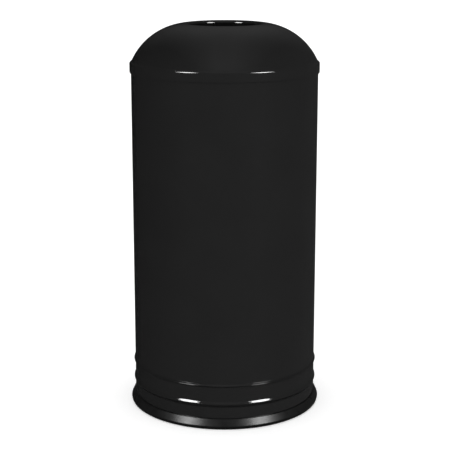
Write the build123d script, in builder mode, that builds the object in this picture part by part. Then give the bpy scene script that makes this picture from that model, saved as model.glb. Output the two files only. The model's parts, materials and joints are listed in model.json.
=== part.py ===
"""Dome-top litter bin: a painted steel shell with a lift-off domed lid, and a galvanised liner bucket inside.

Millimetres, +Z up. The origin is the centre of the base, on the floor. The front is -Y, the seams are at +Y.
"""

from build123d import *
import math
import os

os.makedirs("parts", exist_ok=True)

# Driving dimensions
SHELL_R = 187.0  # outside of the straight shell
SHELL_TOP = 707.0  # crest of the shell's curled rim
LID_SKIRT_R = 189.8  # outside of the lid's skirt
LID_SKIRT_BOTTOM = 686.0
LID_SHOULDER_Z = 703.4  # top of the lid's upright skirt, where its rounded shoulder starts
DOME_ARC_R = 127.6  # radius of the dome's profile arc
DOME_ARC_CENTRE = (69.9, 654.9)  # that arc's centre: from the axis, and height
MOUTH_R = 75.0
TRIM_BROW = (195.9, 7.5)  # corner between the two faces of the vinyl base ring, before it is rounded
TRIM_HEIGHT = 21.1
PAN_TOP = 17.0  # floor of the bin, on which the liner stands
LINER_R = 166.0  # outside of the liner's wall
LINER_TOP = 690.0
BAIL_PIVOT_Z = 668.0
BAIL_WIRE_R = 2.0
BAIL_REACH = 175.0  # pivot axis to the middle of the bail's wire

# Sheet thicknesses and clearances
SHEET = 0.8
LINER_SHEET = 0.6
FIT = 0.1  # between sheets that lie against each other
HAIRLINE = 0.05  # between touching pieces: wire in a curl, rivet in a hole, shell in the base ring's slot

# Derived shared sizes
SHELL_RIM_R = 2.5  # outer radius of the shell's curl
SHELL_RIM_CENTRE = (SHELL_R - SHELL_RIM_R, SHELL_TOP - SHELL_RIM_R)
FOOT_EDGE = 2.6  # lower edge of the shell and of the pan's flange
LINER_RIM_R = 2.2
LINER_INSIDE_R = LINER_R - LINER_SHEET
LINER_RIM_CENTRE = (LINER_INSIDE_R + LINER_RIM_R, LINER_TOP - LINER_RIM_R)
LINER_FOOT = PAN_TOP + 0.3
EAR_PLATE = 1.0  # thickness of a bail ear
EAR_FACE = LINER_R + 4.6  # outside of the ear's raised boss
EAR_HOLE_R = BAIL_WIRE_R + 0.3
RIVET_R = 2.0
RIVET_SPACING = 24.0
BAIL_WALL_GAP = 0.3  # the bail, at rest, from the wall that it leans on
BAIL_DROOP = math.acos((LINER_R + BAIL_WALL_GAP + BAIL_WIRE_R) / BAIL_REACH)  # below level, in radians
BACK = 90.0  # direction of the seams, in degrees from +X


def meridian(angle):
    """The plane through the bin's axis at an angle from +X: its x runs outward and its y runs up."""
    a = math.radians(angle)
    outward = (math.cos(a), math.sin(a), 0)
    return Plane(origin=(0, 0, 0), x_dir=outward, z_dir=(math.sin(a), -math.cos(a), 0))


def arc_width(length, radius):
    """The angle, in degrees, that spans a length round the bin at a radius."""
    return math.degrees(length / radius)


def finish(piece, node):
    """Names a finished piece and writes it."""
    piece.label = node
    export_step(piece, f"parts/{node}.step")


# --- Lid ---


def dome_lid():
    """The spun lid: skirt with an open hem, shoulder, dome, and a mouth turned down to a rolled edge."""
    hem_r = 1.1
    hem_height = 6.0
    shoulder_r = 4.5
    blend_r = 1.0
    lip_r = 5.4
    collar_bottom = 768.8
    mouth_roll_r = 2.0

    hem_leg_r = LID_SKIRT_R - 2 * hem_r
    hem_z = LID_SKIRT_BOTTOM + hem_r
    shoulder_centre = (LID_SKIRT_R - shoulder_r, LID_SHOULDER_Z)
    # The blend lies in the valley between the dome and the shoulder, and touches both arcs from outside.
    dome_r, dome_z = DOME_ARC_CENTRE
    apart = math.dist(DOME_ARC_CENTRE, shoulder_centre)
    from_dome = DOME_ARC_R + blend_r
    from_shoulder = shoulder_r + blend_r
    along = (from_dome**2 - from_shoulder**2 + apart**2) / (2 * apart)
    slope = math.atan2(LID_SHOULDER_Z - dome_z, shoulder_centre[0] - dome_r)
    dome_start = math.degrees(slope + math.acos(along / from_dome))
    shoulder_end = math.degrees(slope + math.pi - math.acos((apart - along) / from_shoulder))
    blend_centre = (
        dome_r + from_dome * math.cos(math.radians(dome_start)),
        dome_z + from_dome * math.sin(math.radians(dome_start)),
    )
    # The lip's arc touches the dome's arc from inside and the mouth's upright wall.
    lip_centre_r = MOUTH_R + lip_r
    lip_z = dome_z + math.sqrt((DOME_ARC_R - lip_r) ** 2 - (lip_centre_r - dome_r) ** 2)
    dome_end = math.degrees(math.acos((lip_centre_r - dome_r) / (DOME_ARC_R - lip_r)))

    with BuildPart() as lid:
        with BuildSketch(Plane.XZ):
            with BuildLine():
                Line((hem_leg_r, LID_SKIRT_BOTTOM + hem_height), (hem_leg_r, hem_z))
                CenterArc((LID_SKIRT_R - hem_r, hem_z), hem_r, 180, 180)
                Line((LID_SKIRT_R, hem_z), (LID_SKIRT_R, shoulder_centre[1]))
                CenterArc(shoulder_centre, shoulder_r, 0, shoulder_end)
                CenterArc(blend_centre, blend_r, 180 + shoulder_end, dome_start - shoulder_end)
                CenterArc(DOME_ARC_CENTRE, DOME_ARC_R, dome_start, dome_end - dome_start)
                CenterArc((lip_centre_r, lip_z), lip_r, dome_end, 180 - dome_end)
                Line((MOUTH_R, lip_z), (MOUTH_R, collar_bottom))
                CenterArc((MOUTH_R + mouth_roll_r, collar_bottom), mouth_roll_r, 180, 225)
                offset(amount=SHEET, side=Side.LEFT)
            make_face()
        revolve(axis=Axis.Z)
    return lid.part


# --- Shell ---


def shell_outside():
    """The shell's outside line, upright with two ridge-shaped beads, from its foot to its rim's curl."""
    lower_middle = 50.9
    lower_half = 5.6
    lower_ridge_r = SHELL_R + 3.1  # the ridge's sharp crest, before it is rounded
    lower_fillets = (6.0, 4.2, 6.0)
    upper_middle = 89.1
    upper_half = 3.2
    upper_ridge_r = SHELL_R + 2.9
    upper_fillets = (0.6, 1.0, 0.6)
    with BuildLine() as outside:
        FilletPolyline(
            (SHELL_R, FOOT_EDGE),
            (SHELL_R, lower_middle - lower_half),
            (lower_ridge_r, lower_middle),
            (SHELL_R, lower_middle + lower_half),
            (SHELL_R, upper_middle - upper_half),
            (upper_ridge_r, upper_middle),
            (SHELL_R, upper_middle + upper_half),
            (SHELL_R, SHELL_RIM_CENTRE[1]),
            radius=lower_fillets + upper_fillets,
        )
    return outside.line


def outer_shell():
    """The rolled shell: two beads near the foot, a rim curled inward, and a weld line at the back."""
    weld_width = 0.8
    weld_depth = 0.25
    with BuildPart() as shell:
        with BuildSketch(Plane.XZ):
            with BuildLine():
                add(shell_outside())
                CenterArc(SHELL_RIM_CENTRE, SHELL_RIM_R, 0, 270)
                offset(amount=SHEET, side=Side.LEFT)
            make_face()
        revolve(axis=Axis.Z)
        with BuildSketch(meridian(BACK - arc_width(weld_width / 2, SHELL_R))):
            with BuildLine():
                add(shell_outside())
                offset(amount=weld_depth, side=Side.LEFT)
            make_face()
        revolve(axis=Axis.Z, revolution_arc=arc_width(weld_width, SHELL_R), mode=Mode.SUBTRACT)
    return shell.part


def ring_wire(centre, wire_r):
    """A closed ring of wire inside a curled rim."""
    with BuildPart() as wire:
        with BuildSketch(Plane.XZ):
            with Locations(centre):
                Circle(wire_r)
        revolve(axis=Axis.Z)
    return wire.part


def base_pan():
    """The pressed floor: a disc with one raised stiffening ring and a flange turned down inside the shell."""
    flange_r = SHELL_R - SHEET - FIT
    corner_r = 2.5
    rib_middle = 110.0
    rib_half = 14.0
    rib_height = 2.4
    rib_arc_r = (rib_half**2 + rib_height**2) / (4 * rib_height)
    rib_flank = math.degrees(2 * math.atan(rib_height / rib_half))
    with BuildPart() as pan:
        with BuildSketch(Plane.XZ):
            with BuildLine():
                Line((flange_r, FOOT_EDGE), (flange_r, PAN_TOP - corner_r))
                CenterArc((flange_r - corner_r, PAN_TOP - corner_r), corner_r, 0, 90)
                Line((flange_r - corner_r, PAN_TOP), (rib_middle + rib_half, PAN_TOP))
                CenterArc((rib_middle + rib_half, PAN_TOP + rib_arc_r), rib_arc_r, 270, -rib_flank)
                crest = (rib_middle, PAN_TOP + rib_height - rib_arc_r)
                CenterArc(crest, rib_arc_r, 90 - rib_flank, 2 * rib_flank)
                inner_root = (rib_middle - rib_half, PAN_TOP + rib_arc_r)
                CenterArc(inner_root, rib_arc_r, 270 + rib_flank, -rib_flank)
                Line((rib_middle - rib_half, PAN_TOP), (0, PAN_TOP))
                offset(amount=SHEET, side=Side.LEFT)
            make_face()
        revolve(axis=Axis.Z)
    return pan.part


def base_trim_ring():
    """The vinyl bumper: a strip with a slot for the shell's foot, closed by a butt joint at the back."""
    contact_r = 191.2
    heel = (194.7, 2.1)  # corner below the brow, before it is rounded
    shelf_r = 189.6  # outer corner of the flat top, before it is rounded
    heel_fillet = 4.0
    brow_fillet = 2.5
    shelf_fillet = 1.2
    slot_inner_r = SHELL_R - 2 * SHEET - 3 * FIT
    slot_outer_r = SHELL_R + HAIRLINE
    slot_bottom = FOOT_EDGE - FIT
    inner_leg_r = 182.6
    inner_leg_top = 13.0
    joint_gap = arc_width(0.6, TRIM_BROW[0])
    with BuildPart() as trim:
        with BuildSketch(meridian(BACK + joint_gap / 2)):
            with BuildLine():
                FilletPolyline(
                    (contact_r, 0),
                    heel,
                    TRIM_BROW,
                    (shelf_r, TRIM_HEIGHT),
                    (slot_outer_r, TRIM_HEIGHT),
                    radius=(heel_fillet, brow_fillet, shelf_fillet),
                )
                Polyline(
                    (slot_outer_r, TRIM_HEIGHT),
                    (slot_outer_r, slot_bottom),
                    (slot_inner_r, slot_bottom),
                    (slot_inner_r, inner_leg_top),
                    (inner_leg_r, inner_leg_top),
                    (inner_leg_r, 0),
                    (contact_r, 0),
                )
            make_face()
        revolve(axis=Axis.Z, revolution_arc=360 - joint_gap)
    return trim.part


# --- Liner ---


def rivet_directions(side):
    """The two directions, in degrees from +X, of an ear's rivets, on the +X (side 0) or -X (side 180) ear."""
    half = math.degrees(math.asin(RIVET_SPACING / 2 / LINER_R))
    return (side - half, side + half)


def radial_plane(angle, radius, height):
    """The plane that faces outward at an angle, radius and height: its x runs round and its y runs up."""
    a = math.radians(angle)
    outward = (math.cos(a), math.sin(a), 0)
    origin = (radius * outward[0], radius * outward[1], height)
    return Plane(origin=origin, x_dir=(-outward[1], outward[0], 0), z_dir=outward)


def liner_wall():
    """The liner's wall: rim curled outward over a wire, lock seam at the back, and rivet holes."""
    wall_bottom = LINER_FOOT + 1.2  # inside the chime's fold
    seam_width = 9.0
    seam_height = 1.2
    seam_bottom = LINER_FOOT + 10.2  # clear of the chime
    seam_top = LINER_TOP - 5.4  # clear of the curled rim
    seam_root_r = LINER_R - LINER_SHEET / 2
    drill = 2.0  # how far the rivet holes' cut reaches to each side of the wall's outside
    with BuildPart() as wall:
        with BuildSketch(Plane.XZ):
            with BuildLine():
                Line((LINER_INSIDE_R, wall_bottom), (LINER_INSIDE_R, LINER_RIM_CENTRE[1]))
                CenterArc(LINER_RIM_CENTRE, LINER_RIM_R, 180, -270)
                offset(amount=LINER_SHEET, side=Side.RIGHT)
            make_face()
        revolve(axis=Axis.Z)
        with BuildSketch(meridian(BACK - arc_width(seam_width / 2, LINER_R))):
            with BuildLine():
                Polyline(
                    (seam_root_r, seam_bottom),
                    (LINER_R + seam_height, seam_bottom),
                    (LINER_R + seam_height, seam_top),
                    (seam_root_r, seam_top),
                    close=True,
                )
            make_face()
        revolve(axis=Axis.Z, revolution_arc=arc_width(seam_width, LINER_R))
        for side in (0, 180):
            for angle in rivet_directions(side):
                with BuildSketch(radial_plane(angle, LINER_R, BAIL_PIVOT_Z)):
                    Circle(RIVET_R + HAIRLINE)
                extrude(amount=drill, both=True, mode=Mode.SUBTRACT)
    return wall.part


def liner_bottom():
    """The liner's bottom: a raised disc whose edge is folded round the foot of the wall as a chime."""
    fold_r = 0.75  # outer radius of the chime's fold, which wraps the wall with a little room
    disc_underside = LINER_FOOT + 6.0
    corner_r = 2.0
    well_r = LINER_INSIDE_R - FIT - LINER_SHEET
    chime_outer_r = LINER_R + FIT + LINER_SHEET
    chime_top = LINER_FOOT + 6.5
    with BuildPart() as bottom:
        with BuildSketch(Plane.XZ):
            with BuildLine() as line:
                Polyline(
                    (0, disc_underside),
                    (well_r, disc_underside),
                    (well_r, LINER_FOOT),
                    (chime_outer_r, LINER_FOOT),
                    (chime_outer_r, chime_top),
                )
                disc_corner = line.vertices().sort_by_distance((well_r, disc_underside, 0))[0]
                fold_corners = line.vertices().group_by(Axis.Y)[0]
                fillet(disc_corner, corner_r)
                fillet(fold_corners, fold_r)
                offset(amount=LINER_SHEET, side=Side.LEFT)
            make_face()
        revolve(axis=Axis.Z)
    return bottom.part


def bail_ear(side):
    """A pressed ear on the liner's wall: a curved plate with a hollow boss, in which the bail's end turns."""
    plate_width = 38.0
    plate_height = 22.0
    plate_corner_r = 8.0
    boss_r = 7.0
    boss_fillet = 0.8
    inner_r = LINER_R + HAIRLINE
    outer_r = inner_r + EAR_PLATE
    with BuildPart() as ear:
        with BuildSketch(Plane.XY.offset(BAIL_PIVOT_Z - plate_height / 2)):
            Circle(outer_r)
        extrude(amount=plate_height)
        with BuildSketch(radial_plane(side, 0, BAIL_PIVOT_Z)):
            RectangleRounded(plate_width, plate_height, plate_corner_r)
        extrude(amount=outer_r, mode=Mode.INTERSECT)
        with BuildSketch(radial_plane(side, 0, BAIL_PIVOT_Z)):
            Circle(boss_r)
        extrude(amount=EAR_FACE)
        boss_rim = ear.edges().filter_by(GeomType.CIRCLE).group_by(Axis.X)[-1 if side == 0 else 0]
        fillet(boss_rim, boss_fillet)
        with BuildSketch(Plane.XY.offset(BAIL_PIVOT_Z - plate_height)):
            Circle(inner_r)
        extrude(amount=2 * plate_height, mode=Mode.SUBTRACT)
        with BuildSketch(radial_plane(side, 0, BAIL_PIVOT_Z)):
            Circle(boss_r - EAR_PLATE)
        extrude(amount=EAR_FACE - EAR_PLATE, mode=Mode.SUBTRACT)
        with BuildSketch(radial_plane(side, 0, BAIL_PIVOT_Z)):
            Circle(EAR_HOLE_R)
        extrude(amount=EAR_FACE, mode=Mode.SUBTRACT)
        for angle in rivet_directions(side):
            with BuildSketch(radial_plane(angle, 0, BAIL_PIVOT_Z)):
                Circle(RIVET_R + HAIRLINE)
            extrude(amount=EAR_FACE, mode=Mode.SUBTRACT)
    return ear.part


def ear_rivets():
    """The four rivets that hold the ears: a domed head outside, a shank, and a flat head inside the liner."""
    outer_head_r = 3.8
    outer_head_height = 1.5
    inner_head_r = 3.4
    inner_head_height = 0.9
    outer_face = LINER_R + HAIRLINE + EAR_PLATE + HAIRLINE
    inner_face = LINER_INSIDE_R - 2 * HAIRLINE
    dome_r = (outer_head_r**2 + outer_head_height**2) / (2 * outer_head_height)
    dome_spread = math.degrees(math.asin(outer_head_r / dome_r))
    tip = outer_face + outer_head_height
    middle = BAIL_PIVOT_Z
    with BuildPart() as rivets:
        for side in (0, 180):
            for angle in rivet_directions(side):
                with BuildSketch(meridian(angle)):
                    with BuildLine():
                        CenterArc((tip - dome_r, middle), dome_r, 0, dome_spread)
                        Polyline(
                            (outer_face, middle + outer_head_r),
                            (outer_face, middle + RIVET_R),
                            (inner_face, middle + RIVET_R),
                            (inner_face, middle + inner_head_r),
                            (inner_face - inner_head_height, middle + inner_head_r),
                            (inner_face - inner_head_height, middle),
                            (tip, middle),
                        )
                    make_face()
                revolve(axis=Axis((0, 0, middle), meridian(angle).x_dir))
    return rivets.part


def liner_bail():
    """The wire bail: a half circle whose ends bend inward through the ears and have heads behind them."""
    bend_r = 4.0
    head_r = 3.0
    head_length = 1.2
    head_inner = LINER_R + 1.4  # clear of the liner's wall
    bend_centre_x = math.sqrt((BAIL_REACH - bend_r) ** 2 - bend_r**2)
    lead_in = math.degrees(math.asin(bend_r / (BAIL_REACH - bend_r)))
    droop_plane = Plane(
        origin=(0, 0, BAIL_PIVOT_Z),
        x_dir=(1, 0, 0),
        z_dir=(0, math.sin(BAIL_DROOP), -math.cos(BAIL_DROOP)),
    )
    with BuildPart() as bail:
        with BuildLine(droop_plane):
            Line((head_inner, 0), (bend_centre_x, 0))
            CenterArc((bend_centre_x, bend_r), bend_r, 270, 90 + lead_in)
            CenterArc((0, 0), BAIL_REACH, lead_in, 180 - 2 * lead_in)
            CenterArc((-bend_centre_x, bend_r), bend_r, 180 - lead_in, 90 + lead_in)
            Line((-bend_centre_x, 0), (-head_inner, 0))
        with BuildSketch(radial_plane(0, head_inner, BAIL_PIVOT_Z)):
            Circle(BAIL_WIRE_R)
        sweep()
        for side in (0, 180):
            with BuildSketch(radial_plane(side, head_inner, BAIL_PIVOT_Z)):
                Circle(head_r)
            extrude(amount=head_length)
    return bail.part


def main():
    finish(dome_lid(), "dome_lid")
    finish(outer_shell(), "outer_shell")
    finish(ring_wire(SHELL_RIM_CENTRE, SHELL_RIM_R - SHEET - HAIRLINE), "shell_rim_wire")
    finish(base_pan(), "base_pan")
    finish(base_trim_ring(), "base_trim_ring")
    finish(liner_wall(), "liner_wall")
    finish(liner_bottom(), "liner_bottom")
    finish(ring_wire(LINER_RIM_CENTRE, LINER_RIM_R - LINER_SHEET - HAIRLINE), "liner_rim_wire")
    finish(bail_ear(0), "bail_ear_right")
    finish(bail_ear(180), "bail_ear_left")
    finish(ear_rivets(), "ear_rivets")
    finish(liner_bail(), "liner_bail")


main()
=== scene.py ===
"""Looks of the dome-top litter bin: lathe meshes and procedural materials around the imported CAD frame.

Metres, +Z up, the CAD's own frame: the axis is x = y = 0, the front is -Y and the seams are at +Y.
"""

import json
import math

import bpy
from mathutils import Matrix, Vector


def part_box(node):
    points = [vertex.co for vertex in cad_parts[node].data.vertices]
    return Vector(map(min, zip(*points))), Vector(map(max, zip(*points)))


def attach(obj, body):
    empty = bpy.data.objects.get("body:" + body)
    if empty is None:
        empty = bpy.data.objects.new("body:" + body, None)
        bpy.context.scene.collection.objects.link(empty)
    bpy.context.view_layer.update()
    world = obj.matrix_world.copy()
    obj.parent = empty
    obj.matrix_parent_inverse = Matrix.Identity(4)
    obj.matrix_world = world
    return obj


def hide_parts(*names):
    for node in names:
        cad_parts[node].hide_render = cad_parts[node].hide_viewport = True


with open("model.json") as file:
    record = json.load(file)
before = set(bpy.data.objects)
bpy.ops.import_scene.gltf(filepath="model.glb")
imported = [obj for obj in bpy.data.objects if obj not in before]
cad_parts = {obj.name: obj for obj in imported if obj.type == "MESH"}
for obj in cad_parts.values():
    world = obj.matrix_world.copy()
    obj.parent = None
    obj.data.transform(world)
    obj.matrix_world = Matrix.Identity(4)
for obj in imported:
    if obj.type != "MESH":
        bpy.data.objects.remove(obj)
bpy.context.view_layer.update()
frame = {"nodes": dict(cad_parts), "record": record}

MM = 0.001
TURN = 2 * math.pi
BACK = math.pi / 2  # direction of the seams
COLUMNS = 256  # round a whole turn
CREASE = math.radians(35)  # edges that bend more are drawn sharp
SAME_POINT = 1e-7
ON_AXIS = 1e-9

# Driving sizes, read from the frame
LID_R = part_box("dome_lid")[1].x
LID_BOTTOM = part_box("dome_lid")[0].z
SHELL_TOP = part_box("outer_shell")[1].z
SHELL_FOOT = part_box("outer_shell")[0].z
TRIM_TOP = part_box("base_trim_ring")[1].z
LINER_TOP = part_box("liner_wall")[1].z
LINER_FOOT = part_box("liner_bottom")[0].z

# Sizes that the frame's boxes don't give
SHEET = 0.8 * MM
LINER_SHEET = 0.6 * MM
FIT = 0.1 * MM  # between sheets that lie against each other
SHELL_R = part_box("base_pan")[1].x + SHEET + FIT
LINER_R = 166.0 * MM
DOME_ARC_R = 127.6 * MM
DOME_ARC_CENTRE = (69.9 * MM, 654.9 * MM)
MOUTH_R = 75.0 * MM
PAN_TOP = 17.0 * MM
SEAM_BOTTOM = LINER_FOOT + 10.2 * MM
SEAM_TOP = LINER_TOP - 5.4 * MM
SHORT_HOLD = 0.3 * MM  # for short straight stretches

# Radiance of the dim room that the gloss reflects
ROOM_FRONT = 0.20
ROOM_BEHIND = 0.02
ROOM_SIDE_STEP = 0.03  # brighter to the right, darker to the left
ROOM_OVERHEAD = 0.16
ROOM_UNDERFOOT = 0.15  # share of the level that is left straight below

# Two equal soft lights, one on each side of the front
SOFTBOX_AZIMUTH = 45  # degrees from the front
SOFTBOX_DISTANCE = 2.5
SOFTBOX_HEIGHT = 1.35
SOFTBOX_WIDTH = 1.0
SOFTBOX_TALL = 0.9
SOFTBOX_POWER = 85  # watts

# The photo's view; without lens shift, so that the lid stays in the picture from every side
CAMERA_PLACE = (0.8 * MM, -2.56, 0.9813)
CAMERA_FIELD = 19.94  # degrees across the picture
CAMERA_DOWN = 13.42  # degrees below level

FLOOR_HALF = 40.0


# --- Profiles: lists of (radius, height) points ---


def arc(centre, radius, start, sweep, step=6.0):
    """Points of an arc; angles in degrees, 0 outward and 90 up."""
    count = max(2, math.ceil(abs(sweep) / step))
    points = []
    for i in range(count + 1):
        angle = math.radians(start + sweep * i / count)
        points.append((centre[0] + radius * math.cos(angle), centre[1] + radius * math.sin(angle)))
    return points


def line(start, end, spacing=0.06, hold=0.8 * MM):
    """Points of a straight stretch, with one close to each end, which keeps smooth shading flat between."""
    length = math.dist(start, end)
    stops = [0.0, 1.0]
    if length > 3 * hold:
        stops += [hold / length, 1 - hold / length]
    inner = int(length / spacing)
    stops += [(i + 1) / (inner + 1) for i in range(inner)]
    return [
        (start[0] + (end[0] - start[0]) * t, start[1] + (end[1] - start[1]) * t)
        for t in sorted(stops)
    ]


def filleted(corners, radii):
    """Points of a straight-sided line through corners, with each inner corner rounded to its radius."""
    stretches = []
    start = Vector(corners[0])
    for i, radius in enumerate(radii):
        corner, after = Vector(corners[i + 1]), Vector(corners[i + 2])
        into = (corner - start).normalized()
        out = (after - corner).normalized()
        turn = math.atan2(into.x * out.y - into.y * out.x, into.dot(out))
        cut = radius * math.tan(abs(turn) / 2)
        touch = corner - into * cut
        side = math.copysign(radius, turn)
        centre = touch + Vector((-into.y, into.x)) * side
        spoke = touch - centre
        stretches.append(line(tuple(start), tuple(touch), hold=0.5 * MM))
        stretches.append(arc(centre, radius, math.degrees(math.atan2(spoke.y, spoke.x)), math.degrees(turn)))
        start = corner + out * cut
    stretches.append(line(tuple(start), corners[-1]))
    return joined(*stretches)


def joined(*stretches):
    """One profile from stretches that meet end to end, without the doubled points."""
    points = []
    for stretch in stretches:
        for point in stretch:
            if not points or math.dist(points[-1], point) > SAME_POINT:
                points.append(point)
    return points


def offset(points, amount):
    """The profile moved sideways by an amount, to the left of its direction."""
    moved = []
    for i, point in enumerate(points):
        before = Vector(points[max(i - 1, 0)])
        after = Vector(points[min(i + 1, len(points) - 1)])
        here = Vector(point)
        into = (here - before).normalized() if i > 0 else (after - here).normalized()
        out = (after - here).normalized() if i < len(points) - 1 else into
        normal = Vector((-into.y - out.y, into.x + out.x)).normalized()
        stretch = 1 / max(normal.dot(Vector((-into.y, into.x))), 0.5)  # at most double, at a sharp corner
        moved.append(tuple(here + normal * amount * stretch))
    return moved


def sheet_section(outside, thickness):
    """The closed section of a sheet whose one face is the given profile and whose other lies to its left."""
    return outside + offset(outside, thickness)[::-1]


# --- Meshes ---


def even_columns():
    """Directions of a lathe's columns round a whole turn."""
    return [TURN * i / COLUMNS for i in range(COLUMNS)]


def columns_with(extra):
    """Even columns, and extra ones about the back given as angles from it, in order."""
    reach = max(abs(a) for a in extra)
    kept = [a for a in even_columns() if abs(a - BACK) > reach + TURN / COLUMNS / 4]
    return sorted(kept + [BACK + a for a in extra])


def finish_mesh(name, vertices, faces, node, material, body):
    """Makes a smooth-shaded piece with sharp creases that rides on its body and stands for its CAD node."""
    mesh = bpy.data.meshes.new(name)
    mesh.from_pydata(vertices, [], faces)
    mesh.validate()
    mesh.shade_smooth()
    mesh.set_sharp_from_angle(angle=CREASE)
    mesh.materials.append(material)
    piece = bpy.data.objects.new(name, mesh)
    bpy.context.scene.collection.objects.link(piece)
    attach(piece, body)
    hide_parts(node)
    return piece


def lathe(section, columns, shift=None, closed=True):
    """Vertices and faces of a section turned about the axis.

    The section is a closed loop, anticlockwise seen with the axis on its left. A point on the axis becomes
    one vertex. shift(angle, radius, height) gives a radial move of a point. closed=False leaves out the last
    column and caps both ends.
    """
    vertices = []
    rings = []
    for angle in columns:
        ring = []
        for radius, height in section:
            if radius < ON_AXIS and rings:
                ring.append(rings[0][len(ring)])
                continue
            moved = radius + (shift(angle, radius, height) if shift else 0.0)
            ring.append(len(vertices))
            vertices.append((moved * math.cos(angle), moved * math.sin(angle), height))
        rings.append(ring)
    faces = []
    count = len(section)
    spans = len(columns) if closed else len(columns) - 1
    for i in range(spans):
        here, after = rings[i], rings[(i + 1) % len(columns)]
        for j in range(count):
            k = (j + 1) % count
            corners = [here[j], after[j], after[k], here[k]]
            kept = [c for n, c in enumerate(corners) if c not in corners[:n]]
            if len(kept) > 2:
                faces.append(kept)
    if not closed:
        faces.append(rings[0])
        faces.append(rings[-1][::-1])
    return vertices, faces


# --- Materials ---


def add_node(tree, kind, inputs=None, **settings):
    """Adds a shader node; an input is a number, a vector, a colour or another node's output."""
    made = tree.nodes.new(kind)
    for name, value in settings.items():
        setattr(made, name, value)
    for name, value in (inputs or {}).items():
        if isinstance(value, bpy.types.NodeSocket):
            tree.links.new(value, made.inputs[name])
        else:
            made.inputs[name].default_value = value
    return made


def new_material(name):
    """A material, its node tree and its Principled shader."""
    material = bpy.data.materials.new(name)
    material.use_nodes = True
    tree = material.node_tree
    return material, tree, tree.nodes["Principled BSDF"]


def object_point(tree):
    """Where a point is on the object, in metres; it stays put on a moving body."""
    return add_node(tree, "ShaderNodeTexCoord").outputs["Object"]


def noise(tree, point, size, detail=2.0, stretch=(1, 1, 1)):
    """Noise from 0 to 1 whose features are about size across, drawn out along an axis by stretch."""
    scale = add_node(
        tree, "ShaderNodeMapping", {"Vector": point, "Scale": [1 / (size * s) for s in stretch]}
    )
    inputs = {"Vector": scale.outputs["Vector"], "Scale": 1.0, "Detail": detail}
    return add_node(tree, "ShaderNodeTexNoise", inputs).outputs["Fac"]


def spread(tree, value, low, high, from_low=0.3, from_high=0.7):
    """Maps a value's usual range to low..high."""
    inputs = {"Value": value, "From Min": from_low, "From Max": from_high, "To Min": low, "To Max": high}
    return add_node(tree, "ShaderNodeMapRange", inputs).outputs["Result"]


def mix_colour(tree, factor, a, b):
    """A blend of two colours by a factor."""
    made = add_node(tree, "ShaderNodeMix", data_type="RGBA")
    # By number, because a Mix node's sockets share their names: the factor, the two colours and the result
    for socket, value in ((0, factor), (6, a), (7, b)):
        if isinstance(value, bpy.types.NodeSocket):
            tree.links.new(value, made.inputs[socket])
        else:
            made.inputs[socket].default_value = value
    return made.outputs[2]


def grey(level, tint=(1, 1, 1)):
    """An opaque colour of a linear level, with a tint."""
    return (level * tint[0], level * tint[1], level * tint[2], 1)


def bump(tree, height, depth, normal=None):
    """A normal bent by a height from 0 to 1 that stands for depth metres."""
    inputs = {"Height": height, "Distance": depth, "Strength": 1.0}
    if normal is not None:
        inputs["Normal"] = normal
    return add_node(tree, "ShaderNodeBump", inputs).outputs["Normal"]


def link(tree, value, shader, name):
    """Feeds a node's output to one of the shader's inputs."""
    tree.links.new(value, shader.inputs[name])


def black_powder_coat():
    """Gloss black powder coat on rolled sheet: orange peel, slight waviness, a little uneven gloss."""
    material, tree, shader = new_material("black_powder_coat")
    point = object_point(tree)
    cloud = noise(tree, point, 0.09, detail=3)
    link(tree, mix_colour(tree, spread(tree, cloud, 0, 1), grey(0.0068), grey(0.0080)), shader, "Base Color")
    link(tree, spread(tree, noise(tree, point, 0.03, detail=4), 0.05, 0.08), shader, "Roughness")
    wavy = bump(tree, noise(tree, point, 0.16, detail=1, stretch=(1, 1, 2.5)), 0.25 * MM)
    peel = bump(tree, noise(tree, point, 3.2 * MM, detail=1.5), 0.012 * MM, wavy)
    link(tree, peel, shader, "Normal")
    return material


def black_vinyl():
    """Satin extruded vinyl: die lines that run round the strip, a fine grain and a faint bloom."""
    material, tree, shader = new_material("black_vinyl")
    point = object_point(tree)
    flat = add_node(tree, "ShaderNodeVectorMath", {0: point, 1: (1, 1, 0)}, operation="MULTIPLY")
    radius = add_node(tree, "ShaderNodeVectorMath", {0: flat.outputs[0]}, operation="LENGTH").outputs["Value"]
    height = add_node(tree, "ShaderNodeSeparateXYZ", {"Vector": point}).outputs["Z"]
    section_point = add_node(tree, "ShaderNodeCombineXYZ", {"X": radius, "Y": height}).outputs["Vector"]
    bloom = noise(tree, point, 0.02, detail=4)
    link(tree, mix_colour(tree, spread(tree, bloom, 0, 1), grey(0.0045), grey(0.0065)), shader, "Base Color")
    link(tree, spread(tree, bloom, 0.26, 0.33), shader, "Roughness")
    die_lines = bump(tree, noise(tree, section_point, 0.9 * MM, detail=2), 0.012 * MM)
    grain = bump(tree, noise(tree, point, 0.7 * MM, detail=3), 0.010 * MM, die_lines)
    link(tree, grain, shader, "Normal")
    shader.inputs["Specular IOR Level"].default_value = 0.27
    return material


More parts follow.
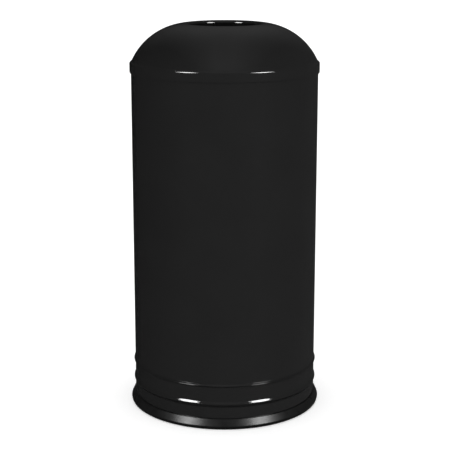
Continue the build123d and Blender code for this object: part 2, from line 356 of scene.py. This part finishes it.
def galvanised_sheet():
    """Hot-dip galvanised sheet: soft spangle, each crystal with its own tone, and faint rolling lines."""
    material, tree, shader = new_material("galvanised_sheet")
    point = object_point(tree)
    crystals_per_metre = 110.0
    waver = 4 * MM  # of the crystals' borders
    drift = noise(tree, point, 0.01, detail=2)
    jitter = add_node(tree, "ShaderNodeVectorMath", {0: point}, operation="ADD")
    shift = add_node(tree, "ShaderNodeVectorMath", {0: drift, 1: (waver,) * 3}, operation="MULTIPLY")
    tree.links.new(shift.outputs[0], jitter.inputs[1])
    cell_inputs = {"Vector": jitter.outputs[0], "Scale": crystals_per_metre}
    cells = add_node(tree, "ShaderNodeTexVoronoi", cell_inputs)
    tone = add_node(tree, "ShaderNodeSeparateXYZ", {"Vector": cells.outputs["Color"]})
    colour = mix_colour(tree, tone.outputs["X"], grey(0.46, (0.98, 1, 1.02)), grey(0.60, (0.99, 1, 1.02)))
    link(tree, colour, shader, "Base Color")
    link(tree, spread(tree, tone.outputs["Y"], 0.30, 0.48, from_low=0, from_high=1), shader, "Roughness")
    shader.inputs["Metallic"].default_value = 0.85
    rolling = bump(tree, noise(tree, point, 0.8 * MM, detail=2, stretch=(1, 1, 60)), 0.006 * MM)
    crystals = bump(tree, cells.outputs["Distance"], 0.03 * MM, rolling)
    link(tree, crystals, shader, "Normal")
    return material


def zinc_metal(name, level, roughness_low, roughness_high):
    """Zinc-plated steel: slightly mottled, with fine scratches."""
    material, tree, shader = new_material(name)
    point = object_point(tree)
    mottle = noise(tree, point, 4 * MM, detail=4)
    colour = mix_colour(tree, spread(tree, mottle, 0, 1), grey(level * 0.88), grey(level * 1.08))
    link(tree, colour, shader, "Base Color")
    link(tree, spread(tree, mottle, roughness_low, roughness_high), shader, "Roughness")
    shader.inputs["Metallic"].default_value = 0.95
    link(tree, bump(tree, noise(tree, point, 0.5 * MM, detail=3), 0.006 * MM), shader, "Normal")
    return material


MATERIALS = {
    "black_powder_coat": black_powder_coat(),
    "black_vinyl": black_vinyl(),
    "galvanised_sheet": galvanised_sheet(),
    "steel_wire": zinc_metal("steel_wire", 0.52, 0.24, 0.36),
    "zinc_rivet": zinc_metal("zinc_rivet", 0.60, 0.28, 0.40),
}


def build(name, section, node, slot, body, columns=None, shift=None, closed=True):
    """Turns a section into a finished piece."""
    vertices, faces = lathe(section, columns or even_columns(), shift, closed)
    return finish_mesh(name, vertices, faces, node, MATERIALS[slot], body)


# --- Lid ---


def valley(shoulder, shoulder_r, blend_r):
    """How a small arc fills the valley between the dome and the shoulder, touching both from outside.

    Gives the directions, in degrees, in which it touches the dome's arc and the shoulder's, and its centre.
    """
    dome_r, dome_z = DOME_ARC_CENTRE
    apart = math.dist(DOME_ARC_CENTRE, shoulder)
    from_dome = DOME_ARC_R + blend_r
    from_shoulder = shoulder_r + blend_r
    along = (from_dome**2 - from_shoulder**2 + apart**2) / (2 * apart)
    slope = math.atan2(shoulder[1] - dome_z, shoulder[0] - dome_r)
    start = slope + math.acos(along / from_dome)
    shoulder_end = slope + math.pi - math.acos((apart - along) / from_shoulder)
    centre = (dome_r + from_dome * math.cos(start), dome_z + from_dome * math.sin(start))
    return math.degrees(start), math.degrees(shoulder_end), centre


def dome_lid():
    """The spun lid: skirt with an open hem, shoulder, dome, and a mouth turned down to a rolled edge."""
    hem_r = 1.1 * MM
    hem_height = 6.0 * MM
    shoulder_r = 4.5 * MM
    shoulder_z = 703.4 * MM
    blend_r = 1.0 * MM
    lip_r = 5.4 * MM
    roll_r = 2.0 * MM
    collar_bottom = 768.8 * MM

    hem_leg_r = LID_R - 2 * hem_r
    hem_z = LID_BOTTOM + hem_r
    shoulder = (LID_R - shoulder_r, shoulder_z)
    dome_r, dome_z = DOME_ARC_CENTRE
    start, shoulder_end, blend_centre = valley(shoulder, shoulder_r, blend_r)
    lip_centre = MOUTH_R + lip_r
    lip_z = dome_z + math.sqrt((DOME_ARC_R - lip_r) ** 2 - (lip_centre - dome_r) ** 2)
    end = math.degrees(math.acos((lip_centre - dome_r) / (DOME_ARC_R - lip_r)))
    outside = joined(
        line((hem_leg_r, LID_BOTTOM + hem_height), (hem_leg_r, hem_z)),
        arc((LID_R - hem_r, hem_z), hem_r, 180, 180, step=12),
        line((LID_R, hem_z), (LID_R, shoulder[1])),
        arc(shoulder, shoulder_r, 0, shoulder_end, step=5),
        arc(blend_centre, blend_r, 180 + shoulder_end, start - shoulder_end, step=9),
        arc(DOME_ARC_CENTRE, DOME_ARC_R, start, end - start, step=2),
        arc((lip_centre, lip_z), lip_r, end, 180 - end),
        line((MOUTH_R, lip_z), (MOUTH_R, collar_bottom), hold=SHORT_HOLD),
        arc((MOUTH_R + roll_r, collar_bottom), roll_r, 180, 225, step=12),
    )
    return build("lid_dome", sheet_section(outside, SHEET), "dome_lid", "black_powder_coat", "lid")


# --- Shell ---


def weld_groove(angle, radius, height):
    """How far the shell's outside sinks at its dressed weld."""
    half_width = 0.9 * MM
    depth = 0.22 * MM
    away = abs(angle - BACK) * SHELL_R
    if away > half_width or radius < SHELL_R - SHEET / 2:
        return 0.0
    return -depth * math.cos(math.pi / 2 * away / half_width) ** 2


def outer_shell():
    """The rolled shell with its two beads, its rim curled inward and its weld at the back."""
    rim_r = 2.5 * MM
    lower_middle = 50.9 * MM
    lower_half = 5.6 * MM
    lower_ridge_r = SHELL_R + 3.1 * MM  # the ridge's sharp crest, before it is rounded
    lower_fillets = (6.0 * MM, 4.2 * MM, 6.0 * MM)
    upper_middle = 89.1 * MM
    upper_half = 3.2 * MM
    upper_ridge_r = SHELL_R + 2.9 * MM
    upper_fillets = (0.6 * MM, 1.0 * MM, 0.6 * MM)
    rim_centre = (SHELL_R - rim_r, SHELL_TOP - rim_r)
    wall = [
        (SHELL_R, SHELL_FOOT),
        (SHELL_R, lower_middle - lower_half),
        (lower_ridge_r, lower_middle),
        (SHELL_R, lower_middle + lower_half),
        (SHELL_R, upper_middle - upper_half),
        (upper_ridge_r, upper_middle),
        (SHELL_R, upper_middle + upper_half),
        (SHELL_R, rim_centre[1]),
    ]
    outside = joined(
        filleted(wall, lower_fillets + upper_fillets),
        arc(rim_centre, rim_r, 0, 270, step=12),
    )
    groove_step = 0.15 * MM / SHELL_R
    groove = [i * groove_step for i in range(-8, 9)]
    section = sheet_section(outside, SHEET)
    columns = columns_with(groove)
    return build("shell_body", section, "outer_shell", "black_powder_coat", "shell", columns, weld_groove)


def base_pan():
    """The pressed floor with its stiffening ring and turned-down flange."""
    flange_r = SHELL_R - SHEET - FIT
    corner_r = 2.5 * MM
    rib_middle = 110.0 * MM
    rib_half = 14.0 * MM
    rib_height = 2.4 * MM
    rib_r = (rib_half**2 + rib_height**2) / (4 * rib_height)
    flank = math.degrees(2 * math.atan(rib_height / rib_half))
    outside = joined(
        line((flange_r, SHELL_FOOT), (flange_r, PAN_TOP - corner_r)),
        arc((flange_r - corner_r, PAN_TOP - corner_r), corner_r, 0, 90, step=10),
        line((flange_r - corner_r, PAN_TOP), (rib_middle + rib_half, PAN_TOP)),
        arc((rib_middle + rib_half, PAN_TOP + rib_r), rib_r, 270, -flank, step=3),
        arc((rib_middle, PAN_TOP + rib_height - rib_r), rib_r, 90 - flank, 2 * flank, step=3),
        arc((rib_middle - rib_half, PAN_TOP + rib_r), rib_r, 270 + flank, -flank, step=3),
        line((rib_middle - rib_half, PAN_TOP), (0, PAN_TOP), spacing=0.02),
    )
    return build("base_floor", sheet_section(outside, SHEET), "base_pan", "black_powder_coat", "shell")


def base_trim_ring():
    """The vinyl bumper: a strip slotted for the shell's foot, butt-jointed at the back."""
    contact_r = 191.2 * MM
    heel = (194.7 * MM, 2.1 * MM)
    brow = (195.9 * MM, 7.5 * MM)
    shelf_r = 189.6 * MM
    fillets = (4.0 * MM, 2.5 * MM, 1.2 * MM)
    inner_r = 182.6 * MM
    inner_top = 13.0 * MM
    slot_play = 0.05 * MM
    slot_inner = SHELL_R - 2 * SHEET - 3 * FIT
    slot_outer = SHELL_R + slot_play
    slot_bottom = SHELL_FOOT - FIT
    joint_gap = 0.6 * MM
    gap = joint_gap / brow[0]
    section = joined(
        line((inner_r, 0), (contact_r, 0), hold=SHORT_HOLD),
        filleted([(contact_r, 0), heel, brow, (shelf_r, TRIM_TOP), (slot_outer, TRIM_TOP)], fillets),
        line((slot_outer, TRIM_TOP), (slot_outer, slot_bottom), hold=SHORT_HOLD),
        line((slot_outer, slot_bottom), (slot_inner, slot_bottom), hold=SHORT_HOLD),
        line((slot_inner, slot_bottom), (slot_inner, inner_top), hold=SHORT_HOLD),
        line((slot_inner, inner_top), (inner_r, inner_top), hold=SHORT_HOLD),
        line((inner_r, inner_top), (inner_r, 0), hold=SHORT_HOLD)[:-1],
    )
    span = TURN - gap
    columns = [BACK + gap / 2 + span * i / COLUMNS for i in range(COLUMNS + 1)]
    return build("base_bumper", section, "base_trim_ring", "black_vinyl", "shell", columns, closed=False)


# --- Liner ---


def lock_seam(angle, radius, height):
    """How far the liner's outside stands out at its folded seam."""
    half_width = 4.5 * MM
    edge = 0.8 * MM
    seam_height = 1.2 * MM
    away = abs(angle - BACK) * LINER_R
    if radius < LINER_R - LINER_SHEET / 2 or radius > LINER_R + LINER_SHEET / 2 or away > half_width:
        return 0.0
    if height < SEAM_BOTTOM or height > SEAM_TOP:
        return 0.0
    return seam_height * min(1.0, (half_width - away) / edge)


def liner_wall():
    """The liner's wall, its rim curled outward over a wire, and its lock seam at the back."""
    rim_r = 2.2 * MM
    inside_r = LINER_R - LINER_SHEET
    bottom = LINER_FOOT + 1.2 * MM
    rim_centre = (inside_r + rim_r, LINER_TOP - rim_r)
    wall = joined(
        line((inside_r, bottom), (inside_r, SEAM_BOTTOM)),
        line((inside_r, SEAM_BOTTOM), (inside_r, SEAM_TOP)),
        line((inside_r, SEAM_TOP), (inside_r, rim_centre[1]), hold=SHORT_HOLD),
        arc(rim_centre, rim_r, 180, -270, step=12),
    )
    section = wall[::-1] + offset(wall, -LINER_SHEET)
    reach = 6.0 * MM / LINER_R
    steps = 30
    seam = [reach * i / steps for i in range(-steps, steps + 1)]
    columns = columns_with(seam)
    return build("liner_bucket", section, "liner_wall", "galvanised_sheet", "liner", columns, lock_seam)


def liner_bottom():
    """The liner's bottom: a disc set above the floor whose edge wraps the wall's foot as a chime."""
    fold_r = 0.75 * MM
    corner_r = 2.0 * MM
    disc_z = LINER_FOOT + 6.0 * MM
    well_r = LINER_R - 2 * LINER_SHEET - FIT
    chime_r = LINER_R + LINER_SHEET + FIT
    chime_top = LINER_FOOT + 6.5 * MM
    underside = joined(
        line((0, disc_z), (well_r - corner_r, disc_z), spacing=0.02),
        arc((well_r - corner_r, disc_z - corner_r), corner_r, 90, -90, step=10),
        line((well_r, disc_z - corner_r), (well_r, LINER_FOOT + fold_r), hold=SHORT_HOLD),
        arc((well_r + fold_r, LINER_FOOT + fold_r), fold_r, 180, 90, step=15),
        arc((chime_r - fold_r, LINER_FOOT + fold_r), fold_r, 270, 90, step=15),
        line((chime_r, LINER_FOOT + fold_r), (chime_r, chime_top), hold=SHORT_HOLD),
    )
    section = sheet_section(underside, LINER_SHEET)
    return build("liner_floor", section, "liner_bottom", "galvanised_sheet", "liner")


# --- Studio ---


def studio_floor():
    """A pale floor that stays near white around the bin and takes only a soft contact shadow."""
    material, _, shader = new_material("studio_floor")
    shader.inputs["Base Color"].default_value = grey(0.9)
    shader.inputs["Roughness"].default_value = 0.9
    shader.inputs["Specular IOR Level"].default_value = 0.0
    shader.inputs["Emission Color"].default_value = grey(1.0)
    shader.inputs["Emission Strength"].default_value = 0.35
    mesh = bpy.data.meshes.new("studio_floor")
    corners = [(x * FLOOR_HALF, y * FLOOR_HALF, 0) for x, y in ((-1, -1), (1, -1), (1, 1), (-1, 1))]
    mesh.from_pydata(corners, [], [(0, 1, 2, 3)])
    mesh.materials.append(material)
    floor = bpy.data.objects.new("studio_floor", mesh)
    bpy.context.scene.collection.objects.link(floor)
    floor.visible_glossy = False


def softbox(name, azimuth):
    """An upright soft light, at an azimuth from the front and aimed at the axis, for reflections alone."""
    light = bpy.data.lights.new(name, "AREA")
    light.shape = "RECTANGLE"
    light.size = SOFTBOX_WIDTH
    light.size_y = SOFTBOX_TALL
    light.energy = SOFTBOX_POWER
    lamp = bpy.data.objects.new(name, light)
    bpy.context.scene.collection.objects.link(lamp)
    a = math.radians(azimuth)
    lamp.location = (SOFTBOX_DISTANCE * math.sin(a), -SOFTBOX_DISTANCE * math.cos(a), SOFTBOX_HEIGHT)
    aim = Vector((0, 0, SOFTBOX_HEIGHT)) - lamp.location
    lamp.rotation_euler = aim.to_track_quat("-Z", "Z").to_euler()
    lamp.visible_camera = False
    lamp.visible_diffuse = False


def multiply_add(tree, a, b, c):
    """a times b, plus c."""
    made = add_node(tree, "ShaderNodeMath", {0: a, 1: b, 2: c}, operation="MULTIPLY_ADD")
    return made.outputs[0]


def studio_world():
    """White to the eye and for diffuse light; to reflections a dim room, lighter in front and overhead."""
    world = bpy.data.worlds.new("studio")
    bpy.context.scene.world = world
    world.use_nodes = True
    tree = world.node_tree
    tree.nodes.clear()
    direction = add_node(tree, "ShaderNodeTexCoord").outputs["Generated"]
    along = add_node(tree, "ShaderNodeSeparateXYZ", {"Vector": direction})
    front = spread(tree, along.outputs["Y"], ROOM_FRONT, ROOM_BEHIND, from_low=-0.7, from_high=0.9)
    sides = multiply_add(tree, along.outputs["X"], ROOM_SIDE_STEP, front)
    above = spread(tree, along.outputs["Z"], 0.0, ROOM_OVERHEAD, from_low=0.1, from_high=0.8)
    aside = add_node(tree, "ShaderNodeMath", {0: along.outputs["X"]}, operation="ABSOLUTE")
    middle = spread(tree, aside.outputs[0], 1.0, 0.0, from_low=0.15, from_high=0.6)
    around = multiply_add(tree, above, middle, sides)
    below = spread(tree, along.outputs["Z"], ROOM_UNDERFOOT, 1.0, from_low=-0.65, from_high=-0.4)
    level = multiply_add(tree, around, below, 0.0)
    room = add_node(tree, "ShaderNodeBackground", {"Color": level, "Strength": 1.0})
    white = add_node(tree, "ShaderNodeBackground", {"Color": grey(1.0), "Strength": 1.0})
    path = add_node(tree, "ShaderNodeLightPath")
    mixed = add_node(tree, "ShaderNodeMixShader", {"Fac": path.outputs["Is Glossy Ray"]})
    tree.links.new(white.outputs[0], mixed.inputs[1])
    tree.links.new(room.outputs[0], mixed.inputs[2])
    output = add_node(tree, "ShaderNodeOutputWorld")
    tree.links.new(mixed.outputs[0], output.inputs["Surface"])


def studio_camera():
    """The camera, in front of the bin, higher than its top, and looking down at it."""
    data = bpy.data.cameras.new("camera")
    data.angle = math.radians(CAMERA_FIELD)
    camera = bpy.data.objects.new("camera", data)
    bpy.context.scene.collection.objects.link(camera)
    camera.location = CAMERA_PLACE
    camera.rotation_euler = (math.radians(90 - CAMERA_DOWN), 0, 0)
    bpy.context.scene.camera = camera


dome_lid()
outer_shell()
base_pan()
base_trim_ring()
liner_wall()
liner_bottom()
for subpart in frame["record"]["subparts"]:
    for material_slot in frame["nodes"][subpart["node"]].material_slots:
        material_slot.material = MATERIALS[subpart["material_slot"]]

studio_floor()
studio_world()
softbox("softbox_right", SOFTBOX_AZIMUTH)
softbox("softbox_left", -SOFTBOX_AZIMUTH)
studio_camera()
bpy.context.scene.view_settings.view_transform = "Standard"
